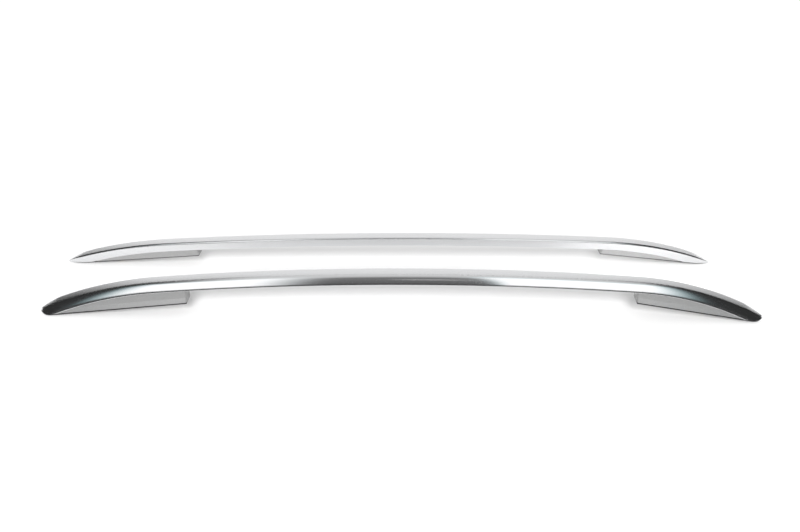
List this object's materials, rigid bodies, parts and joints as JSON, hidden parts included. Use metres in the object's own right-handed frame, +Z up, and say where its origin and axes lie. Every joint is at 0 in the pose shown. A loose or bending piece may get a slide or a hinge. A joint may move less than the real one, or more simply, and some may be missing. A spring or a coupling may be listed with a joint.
{
  "type": "roof side rail pair",
  "caption": "Left and right arched aluminium roof side rails: bent hollow bars with pointed noses on ribbed feet, with rubber seals and threaded inserts for bolts from below.",
  "frame": {"origin": "on the floor under the middle of the pair, which rests on the four tips", "axes": "+X to the front of the vehicle, along the rails; +Y to the vehicle's left; +Z up"},
  "size_m": [1.793, 0.3194, 0.1015],
  "materials": {
    "bar": "satin anodised, polished outer face",
    "foot": "silver-grey moulding",
    "gasket": "matt black",
    "insert": "turned",
    "fastener": "zinc plated"
  },
  "bodies": {
    "root": {"right_bar": "bar", "right_front_foot": "foot", "right_front_gasket": "gasket", "right_front_inserts": "insert", "right_front_screws": "fastener", "right_front_washers": "fastener", "right_front_nuts": "fastener", "right_rear_foot": "foot", "right_rear_gasket": "gasket", "right_rear_inserts": "insert", "right_rear_screws": "fastener", "right_rear_washers": "fastener", "right_rear_nuts": "fastener", "left_bar": "bar", "left_front_foot": "foot", "left_front_gasket": "gasket", "left_front_inserts": "insert", "left_front_screws": "fastener", "left_front_washers": "fastener", "left_front_nuts": "fastener", "left_rear_foot": "foot", "left_rear_gasket": "gasket", "left_rear_inserts": "insert", "left_rear_screws": "fastener", "left_rear_washers": "fastener", "left_rear_nuts": "fastener"}
  },
  "joints": []
}
